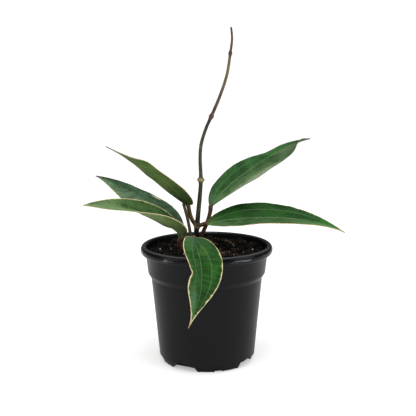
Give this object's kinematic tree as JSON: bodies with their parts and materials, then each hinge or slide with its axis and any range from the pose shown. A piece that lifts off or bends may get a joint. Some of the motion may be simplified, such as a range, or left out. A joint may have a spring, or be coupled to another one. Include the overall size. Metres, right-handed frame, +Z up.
{
  "type": "hoya latifolia",
  "caption": "Young climbing wax plant in a round black nursery pot: broad pointed leaves on brown stalks and a long bare climbing shoot.",
  "frame": {"origin": "on the pot's axis, in the plane that the pot stands on", "axes": "+Z up, -Y towards the front of the plant, where one leaf hangs over the rim, +X to the right of it"},
  "size_m": [0.225, 0.1409, 0.292],
  "materials": {
    "pot": "black moulded plastic, satin",
    "potting_mix": "damp dark bark and peat mix",
    "vine": "grey-green to brown vine bark, satin",
    "cutting": "olive green stem with a dry brown cut end",
    "petiole": "reddish brown leaf stalk, satin",
    "blade": "leathery dark green leaf with pale veins and a cream margin, satin"
  },
  "bodies": {
    "root": {"pot": "pot", "potting_mix": "potting_mix", "vine_main": "vine", "vine_cutting": "cutting", "petiole_upper_left": "petiole", "blade_upper_left": "blade", "petiole_middle_left": "petiole", "blade_middle_left": "blade", "petiole_lower_left": "petiole", "blade_lower_left": "blade", "petiole_right": "petiole", "blade_right": "blade", "petiole_front": "petiole", "blade_front": "blade", "petiole_upper_right": "petiole", "blade_upper_right": "blade"}
  },
  "joints": []
}
